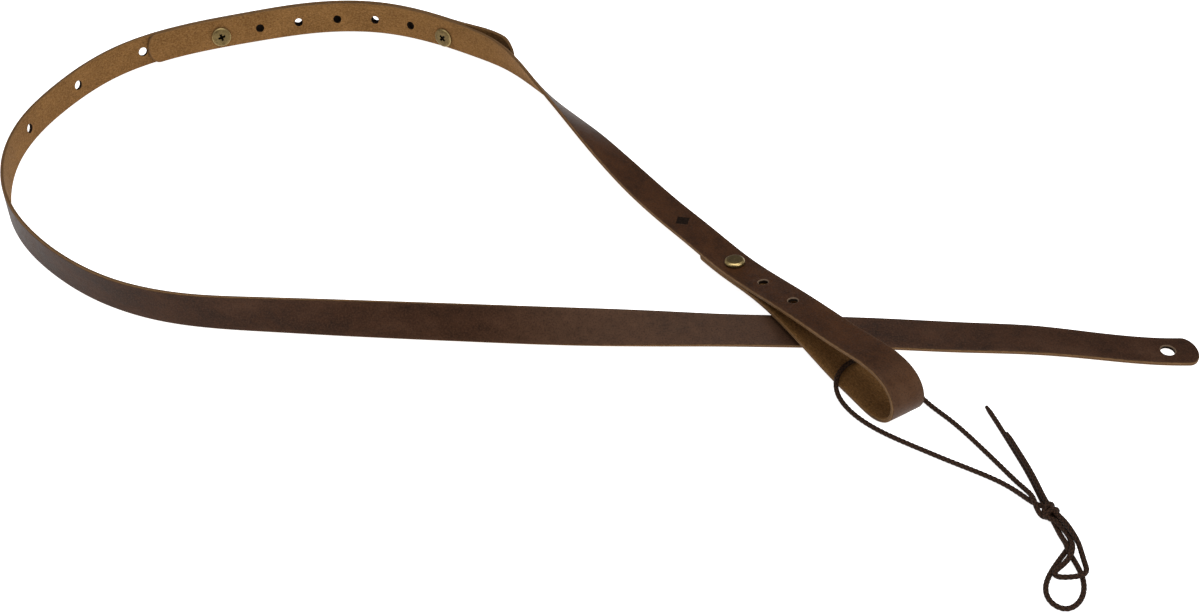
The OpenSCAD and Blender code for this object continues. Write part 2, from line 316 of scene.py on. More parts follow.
def punched_leather(name):
    """The wall of a punched hole: painted near black as the shade inside the hole, and raw on its
    chamfered rim.
    """
    p = Paint(name)
    place = p.attribute("strap_uvd").outputs["Vector"]
    fibre = p.noise(place, 1800, detail=4)
    # Painted shade: the wall's colour is near black, as the inside of a hole is shaded.
    base = p.ramp(fibre, (0.3, (0.004, 0.0025, 0.002)), (0.7, (0.014, 0.008, 0.005)))
    base = p.mix(p.attribute("rim").outputs["Fac"], base, (0.130, 0.088, 0.058))
    p.set(Base_Color=base, Roughness=0.85, Specular_IOR_Level=0.05)
    p.set(Normal=p.bump(fibre, 0.0001, 0.5))
    return p.material


def antique_brass(name):
    """Plated brass, bright with wear on its rims by an attribute, which also paints a highlight on one
    side of the cap's rim, darkens the flat faces a little, and paints the screw's cross recess near
    black as shade.
    """
    p = Paint(name)
    place = p.nodes.new("ShaderNodeTexCoord").outputs["Object"]
    rub = p.attribute("rub").outputs["Fac"]
    grain = p.noise(place, 1500, detail=5, rough=0.7)
    cloud = p.noise(place, 260, detail=4)
    patina = p.ramp(cloud, (0.3, (0.118, 0.080, 0.032)), (0.7, (0.205, 0.148, 0.062)))
    patina = p.mix(p.ramp(grain, (0.35, 0.6), (0.55, 0.0)), patina, (0.030, 0.022, 0.010))
    bright = p.mix(p.ramp(cloud, (0.3, 0.0), (0.8, 0.4)), (0.60, 0.45, 0.20), (0.42, 0.30, 0.12))
    shine = p.math("MULTIPLY", rub, p.ramp(grain, (0.2, 0.55), (0.6, 1.0)), clamp=True)
    # Below 0 the attribute darkens the brass: a little on the flat faces, and to near black in the
    # screw's cross recess as painted shade.
    recess_shade_and_dark_face = p.math("MULTIPLY", rub, -1.0, clamp=True)
    base = p.mix(recess_shade_and_dark_face, p.mix(shine, patina, bright), (0.003, 0.0022, 0.0015))
    p.set(Base_Color=base, Metallic=1.0)
    p.set(Roughness=p.mix(shine, p.ramp(grain, (0.3, 0.55), (0.7, 0.42)), (0.27, 0.27, 0.27)))
    p.set(Normal=p.bump(grain, 0.00006, 0.5))
    return p.material


def braided_lace(name):
    """Dark waxed yarn: streaks run along each strand, and the gaps between strands are painted near
    black as shade.
    """
    p = Paint(name)
    yarn = p.attribute("yarn").outputs["Vector"]
    height = p.attribute("lift").outputs["Fac"]
    streak = p.noise(p.scaled(yarn, 1.0, 0.12, 1), 9, detail=3, rough=0.7)
    dust = p.noise(yarn, 1.5, detail=4)
    base = p.ramp(streak, (0.25, (0.013, 0.0054, 0.0026)), (0.75, (0.056, 0.0250, 0.0125)))
    # Painted shade: where the braid dips between strands, the colour goes near black.
    base = p.mix(p.ramp(height, (0.35, 0.97), (0.85, 0.0)), base, (0.0015, 0.0008, 0.0005))
    base = p.mix(p.ramp(dust, (0.5, 0.0), (0.8, 0.3)), base, (0.056, 0.028, 0.015))
    p.set(Base_Color=base, Roughness=0.75, Normal=p.bump(streak, 0.00008, 0.6))
    p.set(Specular_IOR_Level=0.12)
    return p.material


tail_grain = grain_leather(
    "tail_grain_leather",
    dark=(0.012, 0.0050, 0.0024),
    mid=(0.030, 0.0122, 0.0056),
    light=(0.058, 0.027, 0.0145),
    reddish=(0.050, 0.018, 0.0072),
)
head_grain = grain_leather(
    "headstock_grain_leather",
    dark=(0.014, 0.0048, 0.0016),
    mid=(0.033, 0.0120, 0.0038),
    light=(0.062, 0.0245, 0.0088),
    reddish=(0.060, 0.0195, 0.0055),
)
suede = suede_leather("suede_flesh_side")
cut_edge = edge_leather("burnished_cut_edge")
debossed = debossed_leather("debossed_leather")
punched = punched_leather("punched_hole_wall")
brass = antique_brass("antique_brass")
lace_yarn = braided_lace("braided_waxed_lace")

# ---- the route that both straps follow, as in the CAD source, in millimetres and degrees ---------

# A row is x, y and lift off the table, then the bearing and the lean of the strap's width. The strap
# stands on edge at a lean of 0, and lies flat at 90.
TAIL_ROWS = [
    [60, 2, 0, 90, 90], [30, 1.2, 0, 90, 90], [0, -1.2, 0, 90, 90], [-32, 3.6, 0, 90, 90],
    [-64, 8.5, 0, 90, 84], [-100, 9, 0, 90, 82], [-140, 12, 0, 90, 79], [-180, 13, 0, 90, 78],
    [-220, 14, 0, 90, 77], [-260, 13, 0, 90, 61], [-300, 12, 0, 90, 43], [-350, 14, 0, 90, 30],
    [-400, 16.5, 0, 90, 23], [-450, 19.5, 0, 90, 12], [-490, 22, 0, 90, 4], [-530, 35.5, 0, 60, 0],
]
BEND_ROWS = [
    [-566.5, 63.5, 0, 30, 0], [-595, 98, 0, 0, 0], [-609, 137, 0, 0, 0], [-610.5, 178, 0, 0, 0],
    [-597.5, 217, 0, -40, 0], [-575.5, 257, 0, -60, -2], [-540, 281.5, 0, -80, -5],
    [-500, 296, 0.3, -90, -8], [-460, 309.5, 0.3, -90, -9], [-420, 310.5, 0.3, -90, -9],
    [-385, 296.5, 0.4, -90, -5], [-355, 276.5, 0.7, -100, 0], [-334, 260, 0.8, -120, 14],
]
LOOP_SCREW_AT = (-210, 61)
HEAD_BEARING = -58

# A row at the headstock end is a distance past the loop's screw, a step to the left, lift and lean.
UPPER_ROWS = [
    [-195, 0, 1, 34], [-170, 0, 2, 48], [-145, 0, 3.5, 65], [-120, 0, 3.4, 78],
    [-90, 0, 3.2, 88], [-60, 0, 4, 90], [-30, 0, 6.8, 90], [0, 0, 7.5, 90], [30, 0.3, 13.5, 90],
    [60, 0.5, 19.5, 90], [90, 0.8, 23.5, 90],
]
FOLD_DROP = 4.3  # from the upper run to the end of the fold below it
TURN_ROWS = [
    [110, 1, 28.5, 90], [127, 1.2, 28.5, 90], [137, 1.2, 20, 90], [136, 1.5, 7, 90],
    [123.5, 2, -1.3, 94], [106, 2, 0.4, 97], [90, 1.8, 0.7, 97], [60, 1.2, 6.5, 93],
    [30, 0.3, 13.5 - FOLD_DROP, 90],
]
FOLD_ROWS = [[u, side, lift - FOLD_DROP, 90] for u, side, lift, _ in UPPER_ROWS[7:3:-1]]

ROUTE_STEPS = 32  # points to each span of the route
STRAP_W = 19 * MM
LEATHER_T = 2 * MM
LAYER_GAP = 0.1 * MM  # between the two straps of the lap


def head_row(row):
    """A row along the headstock end, turned into a row of the whole route."""
    u, side, lift, lean = row
    c, s = math.cos(math.radians(HEAD_BEARING)), math.sin(math.radians(HEAD_BEARING))
    x = LOOP_SCREW_AT[0] + u * c - side * s
    y = LOOP_SCREW_AT[1] + u * s + side * c
    return [x, y, lift, HEAD_BEARING - 90, lean]


class Route:
    """The face where the two straps meet: a place and three directions at each distance along it."""

    def __init__(self):
        head = [head_row(r) for r in UPPER_ROWS + TURN_ROWS + FOLD_ROWS]
        rows = spline(TAIL_ROWS + BEND_ROWS + head, ROUTE_STEPS)
        bearing, lean = np.radians(rows[:, 3]), np.radians(rows[:, 4])
        upward = np.stack(
            [np.sin(lean) * np.cos(bearing), np.sin(lean) * np.sin(bearing), np.cos(lean)], axis=1
        )
        self.path = rows[:, :3] * MM
        self.path[:, 2] += STRAP_W / 2 * np.abs(upward[:, 2])
        self.along = unit(np.gradient(self.path, axis=0))
        self.wide = unit(upward - dot(upward, self.along) * self.along)
        self.arc = run_length(self.path)

    def at(self, s):
        """(place, along, across the width, out of the grain) at distances s."""

        def take(table):
            return np.stack([np.interp(s, self.arc, table[:, k]) for k in range(3)], axis=-1)

        place, along, wide = take(self.path), unit(take(self.along)), take(self.wide)
        wide = unit(wide - dot(wide, along) * along)
        return place, along, wide, np.cross(wide, along)

    def distance(self, point, low=0.0, high=np.inf):
        """The distance along the route nearest to a point, between two distances."""
        gap = np.linalg.norm(self.path - np.array(point), axis=1)
        gap[(self.arc < low) | (self.arc > high)] = np.inf
        i = int(np.argmin(gap))
        step = dot(np.array(point) - self.path[i], self.along[i])[0]
        return float(self.arc[i] + step)


route = Route()
joints = {j["name"]: j for j in frame["joints"]}
loop_screw = joints["loop_screw_turn"]["pos_m"]

# Distances along the route. The loop's screw is met twice: on the way out, and on the way back.
BUTTON_S = route.distance((0, 0, 0))
LAP_FROM = BUTTON_S + 0.7  # the lap lies wholly past here
REAR_S = route.distance(joints["rear_adjuster_screw_turn"]["pos_m"], LAP_FROM)
FRONT_S = route.distance(joints["front_adjuster_screw_turn"]["pos_m"], LAP_FROM)
LOOP_S = route.distance(loop_screw, FRONT_S + 0.2, FRONT_S + 0.35)
RETURN_S = route.distance(loop_screw, FRONT_S + 0.5)
PITCH = (FRONT_S - REAR_S) / 6  # between the headstock strap's holes

# ---- the lace, from the tip of its long free end to the tip of the short one, in millimetres -----

LACE_D = 2.2 * MM
LACE_STEP = 0.22 * MM  # between the rings of its mesh
LACE_AROUND = 20  # faces round each ring
LACE = [
    [-96.5, -39, 1.1], [-94.5, -45.5, 1.1], [-91.5, -57, 1.1], [-88.5, -69, 1.1],
    [-85.5, -81, 1.1], [-83.5, -92, 1.1],
    [-82.5, -100, 1.4], [-81.5, -107, 1.8],
    [-80, -113, 1.6], [-79, -118, 1.1], [-78, -123, 1.1], [-78, -128, 3.9], [-77.8, -132, 3],
    [-75.5, -136, 1.1], [-74.3, -141.5, 1.1], [-73.8, -149, 1.1], [-77, -158, 1.1],
    [-84, -163.5, 1.1], [-90, -160.5, 1.1], [-92, -154, 1.1], [-90, -147, 1.1],
    [-85.5, -140, 1.1], [-80.5, -133.5, 1.1], [-76.5, -128.5, 1.1], [-74, -124, 1.1],
    [-75, -117, 1.1], [-78, -111, 1.4],
    [-81.5, -106.5, 3.6], [-85.5, -104, 2],
    [-89.5, -98.5, 1.1], [-94.5, -92.5, 1.1], [-100.5, -87.5, 1.1], [-109, -82, 1.1],
    [-120, -75.5, 1.1],
    [-130, -69, 1.1], [-141, -62, 1.1], [-152, -54, 1.1], [-162, -43, 1.1], [-168, -31, 3],
    [-165.5, -20, 5.6], [-158.5, -13.5, 6.8], [-151, -10, 7], [-144, -8, 6.4], [-138, -10, 4.4],
    [-133, -17, 1.6], [-129, -27, 1.1], [-124, -37.5, 1.1], [-115.5, -47.5, 1.1],
    [-109, -57.5, 1.1], [-103, -68, 1.1], [-96.5, -79.5, 1.1], [-91, -90, 1.2],
    [-87, -98, 3],
    [-87, -103.5, 4.6], [-86.5, -108.5, 3.6], [-84, -111.5, 1.2],
    [-79, -109.5, 1.1], [-76.5, -108, 3], [-80, -109.5, 6], [-84.5, -112, 3.8],
    [-82.5, -110.5, 1.1], [-79.5, -106.5, 1.1], [-78.5, -104.5, 3], [-81.5, -106.5, 6],
    [-84.5, -109, 3.8], [-82, -113, 2.4],
    [-79.4, -114.5, 3.7], [-77.7, -118.5, 3.4], [-76, -122.5, 3.5], [-75.2, -126.5, 3.4],
    [-76.2, -133, 6.1], [-78.5, -137, 4], [-82, -140, 2.6], [-86, -143, 2.8],
    [-86.5, -146.5, 2.8], [-81, -147, 3.3], [-75.5, -146.5, 3.6], [-72, -144, 3.4],
    [-71.7, -138.5, 2], [-72.3, -134, 3.4], [-73.3, -129.5, 6], [-74.8, -123.5, 6.2],
    [-76.6, -117, 6], [-79.5, -110, 4.4], [-82, -104, 4.2],
    [-83.2, -92, 3.4], [-85.3, -81, 3.4], [-88.2, -70, 3.4], [-91, -59, 3.4],
]
LACE_NODES = [
    "lace_tie_loop", "lace_knot", "lace_large_bow", "lace_small_bow", "lace_long_end",
    "lace_short_end",
]


def carried_frames(path):
    """Tangents along a path, and a side direction carried along it without twisting."""
    tangent = unit(np.gradient(path, axis=0))
    side = np.zeros_like(path)
    side[0] = unit(np.cross(tangent[0], (0, 0, 1)))
    for i in range(1, len(path)):
        v = side[i - 1] - dot(side[i - 1], tangent[i]) * tangent[i]
        side[i] = unit(v)
    return tangent, side


def braid(arc, angle, strands=4, lead=9 * MM):
    """Height of a round braid from 0 to 1, with the place within the strand that is on top."""
    turn = angle / (2 * np.pi)
    right = strands * (turn - arc / lead)
    left = strands * (turn + arc / lead)
    over = (np.floor(right) + np.floor(left)) % 2 == 0
    a, b = right % 1, left % 1
    across, length = np.where(over, a, b), np.where(over, b, a)
    height = np.sqrt(np.clip(1 - (2 * across - 1) ** 2, 0, 1)) * (0.55 + 0.45 * np.sin(np.pi * length))
    strand = np.where(over, np.floor(right), np.floor(left) + 50)  # each has streaks of its own
    yarn = np.stack([across * 3, np.where(over, left, right), strand * 7.3], axis=-1)
    return height, yarn


def make_lace():
    """Sweeps the braid along the lace's route, and rounds off its two ends."""
    control = np.array(LACE, float)
    first, last = 2 * control[0] - control[1], 2 * control[-1] - control[-2]
    rough = spline(np.vstack([first, control, last]), 40) * MM
    arc = run_length(rough)
    count = int(arc[-1] / LACE_STEP)
    s = np.linspace(0, arc[-1], count)
    path = np.stack([np.interp(s, arc, rough[:, k]) for k in range(3)], axis=1)
    for _ in range(6):
        path[1:-1] = (path[:-2] + 2 * path[1:-1] + path[2:]) / 4
    tangent, side = carried_frames(path)
    other = np.cross(tangent, side)
    around = LACE_AROUND
    angle = np.arange(around) * 2 * np.pi / around
    grid_s, grid_a = np.meshgrid(s, angle, indexing="ij")
    height, yarn = braid(grid_s, grid_a)
    end_gap = np.minimum(s, s[-1] - s)
    taper = 0.72 + 0.28 * ease(end_gap, 0, 5 * MM)
    round_tip = np.sqrt(np.clip(1 - (1 - np.clip(end_gap / (0.7 * MM), 0, 1)) ** 2, 0.02, 1))
    core, strand_rise = LACE_D / 2 - 0.06 * MM, 0.22 * MM
    radius = (core + strand_rise * height) * (taper * round_tip)[:, None]
    ring = np.cos(grid_a)[..., None] * side[:, None] + np.sin(grid_a)[..., None] * other[:, None]
    points = (path[:, None] + radius[..., None] * ring).reshape(-1, 3)
    faces = []
    for i in range(count - 1):
        for k in range(around):
            a, b = i * around + k, i * around + (k + 1) % around
            faces.append((a, b, b + around, a + around))
    faces.append(tuple(reversed(range(around))))
    faces.append(tuple((count - 1) * around + k for k in range(around)))
    lace = add_mesh(
        "braided_lace", points, faces, [lace_yarn],
        attributes={"lift": height.ravel(), "yarn": yarn.reshape(-1, 3)},
    )
    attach(lace, "root")
    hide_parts(*LACE_NODES)


make_lace()

# ---- straps -------------------------------------------------------------------------------------

ACROSS = 18  # cells across the flat of a strap
PATCH = 10  # cells along each side of the square patch around a hole
EDGE_REACH = 0.5 * MM  # how far the rounded edge reaches past the flat
FLAT_HALF = STRAP_W / 2 - EDGE_REACH
TIP_LENGTH = 6.5 * MM  # of the rounded tip at each end
CELL = 2 * FLAT_HALF / ACROSS
EDGE_STEPS = 4  # faces in each rounded corner of the edge
TIP_CELLS = 10  # columns of cells in each rounded tip
GRAIN, FLESH, EDGE, STAMPED, PUNCHED = range(5)  # the material slots
SIDES = ((GRAIN, 0.0), (FLESH, LEATHER_T))  # each face, and its depth below the grain
DENT_FLAT_R, DENT_R = 5 * MM, 8.5 * MM  # a dent is full up to one, and ends at the other
RIPPLE = 0.05 * MM  # the leather's slight unevenness
BEND_SPAN = 4 * MM  # the stretch that a bend is measured over


def patch_outline(i0, j0):
    """Grid places round a patch's outline, in turn order, starting at its low corner."""
    n = PATCH
    around = [(i0 + k, j0) for k in range(n)]
    around += [(i0 + n, j0 + k) for k in range(n)]
    around += [(i0 + n - k, j0 + n) for k in range(n)]
    around += [(i0, j0 + n - k) for k in range(n)]
    return around


def circle(r):
    return lambda turn: (r * np.cos(turn), r * np.sin(turn))


def lozenge(half):
    """A diamond with slightly hollow sides."""
    power = 0.92  # 1 would make them straight

    def outline(turn):
        c, s = np.cos(turn), np.sin(turn)
        reach = 1 / (np.abs(c) ** power + np.abs(s) ** power) ** (1 / power)
        return half * reach * c, half * reach * s

    return outline


def stretch(s, low, high, blend):
    """1 between two distances along a strap, fading to 0 over a blend outside them."""
    return ease(s, low - blend, low) * (1 - ease(s, high, high + blend))


class Strap:
    """One strip of leather: a flat pattern of cells with holes, bent along the route.

    s0 and s1 are its ends along the route, and grain_at is how far its grain side stands off the
    route. peel is where its free end starts to stand off, and by how much. Each bow is a start, an
    end and a height. Each dent is a distance, how far it is below the middle, and its depth, which is
    negative on the flesh side. stained and rubbed are a start, an end, a blend and a strength: the
    first for painted shade on the flesh side, the second for a painted sheen on the grain.
    """

    def __init__(self, s0, s1, grain_at, peel=None, bows=(), dents=(), stained=None, painted_sheen_span=None):
        self.s0, self.s1, self.grain_at = s0, s1, grain_at
        self.peel, self.bows, self.dents = peel, bows, dents
        self.stained, self.painted_sheen_span = stained, painted_sheen_span
        self.flat = []  # (s, w, depth) of each point
        self.faces, self.slots = [], []
        self.patches = []  # (s, cells below the middle, rings, kind)

    def add(self, s, w, depth):
        self.flat.append((s, w, depth))
        return len(self.flat) - 1

    def face(self, corners, slot):
        self.faces.append(tuple(corners))
        self.slots.append(slot)

    def band(self, a, b, slot, flip=False):
        """Faces between two closed loops of points."""
        for k in range(len(a)):
            m = (k + 1) % len(a)
            corners = [a[k], a[m], b[m], b[k]]
            self.face(corners[::-1] if flip else corners, slot)

    def stations(self):
        """Distances along the strap, a cell apart in patches and up to 1.9 cells apart elsewhere."""
        last = self.s1 - TIP_LENGTH
        out, here = [], self.s0 + TIP_LENGTH
        self.patch_column = {}
        for centre in sorted(patch[0] for patch in self.patches) + [None]:
            start = last if centre is None else centre - PATCH * CELL / 2
            count = max(1, math.ceil((start - here) / (1.9 * CELL)))
            out += list(np.linspace(here, start, count, endpoint=False))
            if centre is not None:
                self.patch_column[centre] = len(out) + TIP_CELLS
                out += [start + CELL * k for k in range(PATCH)]
                here = start + CELL * PATCH
        return out + [last]

    def flat_place(self, body, i, j):
        """Distance and width of a grid point, on the straight body or on a rounded tip."""
        column = i - TIP_CELLS
        v = 2 * j / ACROSS - 1
        if 0 <= column < len(body):
            return body[column], FLAT_HALF * v
        # The square end of the grid is drawn in to a rounded one.
        u = max(-column, column - len(body) + 1) / TIP_CELLS
        x = (TIP_LENGTH - EDGE_REACH) * u * math.sqrt(1 - v * v / 2)
        w = FLAT_HALF * v * math.sqrt(1 - u * u / 2)
        return (body[0] - x if column < 0 else body[-1] + x), w

    def build(self, name, grain):
        """Lays out both faces, closes the edge and the holes, and bends the lot along the route."""
        body = self.stations()
        n = len(body) + 2 * TIP_CELLS
        squares = {}
        for s, below, rings, kind in self.patches:
            low_corner = self.patch_column[s], (ACROSS - PATCH) // 2 - below
            squares[low_corner] = (s, -below * CELL), rings, kind
        span = range(PATCH)
        covered = {(i + a, j + b) for i, j in squares for a in span for b in span}
        inside = {(i + a, j + b) for i, j in squares for a in span[1:] for b in span[1:]}
        grid = {GRAIN: {}, FLESH: {}}
        for side, depth in SIDES:
            g = grid[side]
            for i in range(n):
                for j in range(ACROSS + 1):
                    if (i, j) not in inside:
                        g[i, j] = self.add(*self.flat_place(body, i, j), depth)
            for i in range(n - 1):
                for j in range(ACROSS):
                    if (i, j) not in covered:
                        corners = [g[i, j], g[i + 1, j], g[i + 1, j + 1], g[i, j + 1]]
                        self.face(corners if side == GRAIN else corners[::-1], side)
        self.round_edge(grid, n)
        for (i, j), patch in squares.items():
            self.fill_patch(grid, i, j, *patch)
        return self.bend(name, grain)

    def round_edge(self, grid, n):
        """Joins the two faces round the outline with a rounded, burnished edge."""
        rim = [(i, 0) for i in range(n)] + [(n - 1, j) for j in range(1, ACROSS + 1)]
        rim += [(i, ACROSS) for i in range(n - 2, -1, -1)] + [(0, j) for j in range(ACROSS - 1, 0, -1)]
        top, low = [grid[GRAIN][p] for p in rim], [grid[FLESH][p] for p in rim]
        outline = np.array([self.flat[t][:2] for t in top])
        run = unit(np.roll(outline, -1, axis=0) - np.roll(outline, 1, axis=0))
        out = np.stack([run[:, 1], -run[:, 0]], axis=1)
        corner = [math.pi / 2 * (k + 1) / EDGE_STEPS for k in range(EDGE_STEPS)]
        deeper, proud = 1.1, 1.04  # of the corners, and of the middle of the edge
        profile = [(EDGE_REACH * math.sin(a), EDGE_REACH * (1 - math.cos(a)) * deeper) for a in corner]
        profile += [(EDGE_REACH * proud, LEATHER_T / 2)]
        profile += [(o, LEATHER_T - d) for o, d in reversed(profile[:-1])]
        rings = [top]
        for reach, depth in profile:
            place = outline + reach * out
            rings.append([self.add(p[0], p[1], depth) for p in place])
        rings.append(low)
        count = len(rim)
        for a, b in zip(rings, rings[1:]):
            for k in range(count):
                m = (k + 1) % count
                self.face([a[k], b[k], b[m], a[m]], EDGE)

    def ring(self, centre, outline, turns, depth, grow=1.0):
        """Adds a closed loop of points round a patch's centre."""
        x, w = outline(turns)
        return [self.add(centre[0] + grow * a, centre[1] + grow * b, depth) for a, b in zip(x, w)]

    def fill_patch(self, grid, i0, j0, centre, rings, kind):
        """Fills a square patch with a hole's rings, or with a stamped shape's on the grain side."""
        order = patch_outline(i0, j0)
        turns = -3 * math.pi / 4 + np.arange(len(order)) * 2 * math.pi / len(order)
        loops = {}
        for side, depth in SIDES:
            square = [grid[side][p] for p in order]
            outline, _ = rings[0] if side == GRAIN else rings[-1]
            x, w = outline(turns)
            goal = np.stack([centre[0] + x, centre[1] + w], axis=1)
            start = np.array([self.flat[k][:2] for k in square])
            loops[side] = [square]
            for share in (0.3, 0.6, 0.85):
                between = start * (1 - share) + goal * share
                loops[side].append([self.add(p[0], p[1], depth) for p in between])
        walls = [self.ring(centre, outline, turns, depth) for outline, depth in rings]
        loops[GRAIN].append(walls[0])
        loops[FLESH].append(walls[-1])
        for side, _ in SIDES:
            for a, b in zip(loops[side], loops[side][1:]):
                self.band(a, b, side, flip=side == FLESH)
        if kind == "stamp":
            self.fill_stamp(walls, centre, rings, turns)
            return
        for a, b in zip(walls, walls[1:]):
            self.band(a, b, PUNCHED)

    def fill_stamp(self, walls, centre, rings, turns):
        """Closes a stamp: its sunk floor on the grain side, and the plain flesh side below it."""
        for a, b in zip(walls[:-1], walls[1:-1]):
            self.band(a, b, STAMPED)
        for which, slot, flip in ((-2, STAMPED, False), (-1, FLESH, True)):
            inner, (outline, depth) = walls[which], rings[which]
            for grow in (0.75, 0.5, 0.25):
                smaller = self.ring(centre, outline, turns, depth, grow)
                self.band(inner, smaller, slot, flip)
                inner = smaller
            hub = self.add(*centre, depth)
            for k in range(len(inner)):
                corners = [inner[k], inner[(k + 1) % len(inner)], hub]
                self.face(corners[::-1] if flip else corners, slot)

    def bend(self, name, grain):
        """Bends the flat pattern along the route."""
        s, w, depth = np.array(self.flat).T
        place, _, wide, out = route.at(s)
        lift = self.grain_at - depth
        if self.peel:
            start, height = self.peel
            lift = lift + height * np.clip((s - start) / (self.s1 - start), 0, None) ** 2
        for start, end, height in self.bows:
            lift = lift + height * np.sin(np.pi * np.clip((s - start) / (end - start), 0, 1)) ** 2
        for centre, below, sink in self.dents:
            gap = np.hypot(s - centre, w + below)
            share = 1 - depth / LEATHER_T if sink > 0 else depth / LEATHER_T
            lift = lift - sink * np.clip(share, 0, 1) * (1 - ease(gap, DENT_FLAT_R, DENT_R))
        ripple = RIPPLE * np.sin(s * 95 + 1.3) * np.sin(s * 41 + w * 160)
        points = place + w[:, None] * wide + (lift + ripple)[:, None] * out
        attributes = {
            "strap_uvd": np.stack([s, w, depth], axis=1),
            "wear_and_painted_sheen": self.wear_and_painted_sheen(s, w),
            "rim": self.rim(s, w, depth),
            "stain": self.stain(s, w),
        }
        materials = [grain, suede, cut_edge, debossed, punched]
        return add_mesh(name, points, self.faces, materials, self.slots, attributes=attributes)

    def rim(self, s, w, depth):
        """1 on the chamfer round each hole's grain side, where raw leather shows, and 0 elsewhere."""
        near = np.zeros_like(s)
        for centre, below, rings, kind in self.patches:
            if kind == "hole":
                reach = rings[0][0](0)[0]
                gap = np.hypot(s - centre, w + below * CELL)
                near = np.maximum(near, 1 - ease(gap, reach - 0.05 * MM, reach + 0.3 * MM))
        return near * (1 - ease(depth, 0.4 * MM, 0.7 * MM))

    def stain(self, s, w):
        """How far painted shade darkens the flesh side, from 0 to 1."""
        if not self.stained:
            return np.zeros_like(s)
        *place, strength = self.stained
        return strength * stretch(s, *place) * (1 - ease(np.abs(w), 7.5 * MM, 9.3 * MM))

    def wear_and_painted_sheen(self, s, w):
        """How far the grain is paled, from 0 to 1: by pull-up where it bends, by wear at its edges,
        and by a painted sheen along a given stretch.
        """
        _, _, _, out = route.at(s)
        _, _, _, ahead = route.at(s + BEND_SPAN)
        bend = np.linalg.norm(ahead - out, axis=1) / BEND_SPAN
        edge = ease(np.abs(w), 6.5 * MM, 9.5 * MM)
        pull_up, rub = 0.012, 0.25  # for a bend of one radian a metre, and at the very edge
        wear_and_painted_sheen = pull_up * bend + rub * edge
        # Painted sheen: a given stretch of the grain is paled.
        if self.painted_sheen_span:
            *place, strength = self.painted_sheen_span
            wear_and_painted_sheen = wear_and_painted_sheen + strength * stretch(s, *place)
        return np.clip(wear_and_painted_sheen, 0, 1)

    def hole(self, s, r, below=0):
        """A punched hole with a rim paled by wear, a whole number of cells below the strap's middle.
        """
        rings = [
            (circle(r + 0.5 * MM), 0.0),
            (circle(r + 0.22 * MM), 0.14 * MM),
            (circle(r + 0.03 * MM), 0.45 * MM),
            (circle(r), 0.7 * MM),
            (circle(r), LEATHER_T - 0.2 * MM),
            (circle(r + 0.04 * MM), LEATHER_T - 0.06 * MM),
            (circle(r + 0.12 * MM), LEATHER_T),
        ]
        self.patches.append((s, below, rings, "hole"))

    def stamp(self, s):
        """A plain debossed lozenge."""
        rings = [
            (lozenge(4.8 * MM), 0.0),
            (lozenge(4.6 * MM), 0.12 * MM),
            (lozenge(4.3 * MM), 0.35 * MM),
            (circle(3 * MM), LEATHER_T),  # an outline for the flat flesh side below
        ]
        self.patches.append((s, 0, rings, "stamp"))


BUTTON_HOLE_R = 3.5 * MM
TAIL_HOLE_R = 2.7 * MM
HEAD_HOLE_R = 2.45 * MM
REAR_BELOW, FRONT_BELOW, LAP_BELOW = 2, 3, 1  # cells of 1 mm below the straps' middle


def make_tail_strap():
    """The long strip: a button hole, and seven adjustment holes two pitches apart."""
    strap = Strap(
        BUTTON_S - 15 * MM, FRONT_S + 50 * MM, LEATHER_T,
        peel=(FRONT_S + 14 * MM, 2.5 * MM),
        bows=[(REAR_S, FRONT_S, 1.4 * MM), (FRONT_S + 2 * MM, FRONT_S + 66 * MM, 3 * MM)],
        # Painted shade: the flesh side under the headstock strap is darkened fully, so it looks shaded
        # through the holes.
        stained=(REAR_S - 12 * MM, FRONT_S + 12 * MM, 3 * MM, 1.0),
        # Painted sheen: the grain is paled along part of the near run.
        painted_sheen_span=(BUTTON_S + 200 * MM, BUTTON_S + 290 * MM, 60 * MM, 0.6),
        dents=[(REAR_S, REAR_BELOW * MM, 0.12 * MM), (FRONT_S, FRONT_BELOW * MM, 0.12 * MM)],
    )
    strap.hole(BUTTON_S, BUTTON_HOLE_R)
    under_screws = {0: FRONT_BELOW, 3: REAR_BELOW}
    for i in range(7):
        strap.hole(FRONT_S - 2 * i * PITCH, TAIL_HOLE_R, under_screws.get(i, 0))
    piece = strap.build("tail_strap_leather", tail_grain)
    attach(piece, "root")
    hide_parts("tail_strap")


def make_headstock_strap():
    """The short strip: seven adjustment holes, the loop screw's two and two spare ones."""
    strap = Strap(
        REAR_S - 46 * MM, RETURN_S + 23 * MM, -LAYER_GAP,
        dents=[
            (REAR_S, REAR_BELOW * MM, -0.2 * MM), (FRONT_S, FRONT_BELOW * MM, -0.2 * MM),
            (LOOP_S, 0, 0.12 * MM), (RETURN_S, 0, 0.2 * MM),
        ],
        # Painted shade: the flesh side inside the loop is darkened a little.
        stained=(LOOP_S + 80 * MM, RETURN_S, 50 * MM, 0.2),
    )
    under_screws = {0: FRONT_BELOW, 6: REAR_BELOW}
    for i in range(7):
        strap.hole(FRONT_S - i * PITCH, HEAD_HOLE_R, under_screws.get(i, LAP_BELOW))
    for s in (LOOP_S, LOOP_S + PITCH, LOOP_S + 2 * PITCH, RETURN_S):
        strap.hole(s, HEAD_HOLE_R)
    strap.stamp(LOOP_S - 48 * MM)
    piece = strap.build("headstock_strap_leather", head_grain)
    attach(piece, "root")
    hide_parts("headstock_strap")


make_tail_strap()
make_headstock_strap()

# ---- screw posts --------------------------------------------------------------------------------

STACK_HALF = LEATHER_T + LAYER_GAP / 2  # from the joint's middle to the outside of the leather
CAP_R = 5.25 * MM
CAP_SEAT = 0.15 * MM
CAP_HIGHLIGHT_TURN = -32  # degrees round the cap, from the strap's direction to the side with a painted highlight
BARREL_R, BORE_R = 2.4 * MM, 2.0 * MM
HEAD_R = 6.0 * MM
HEAD_SEAT = 0.3 * MM
HEAD_T = 1.2 * MM
THREAD_PITCH = 0.7 * MM


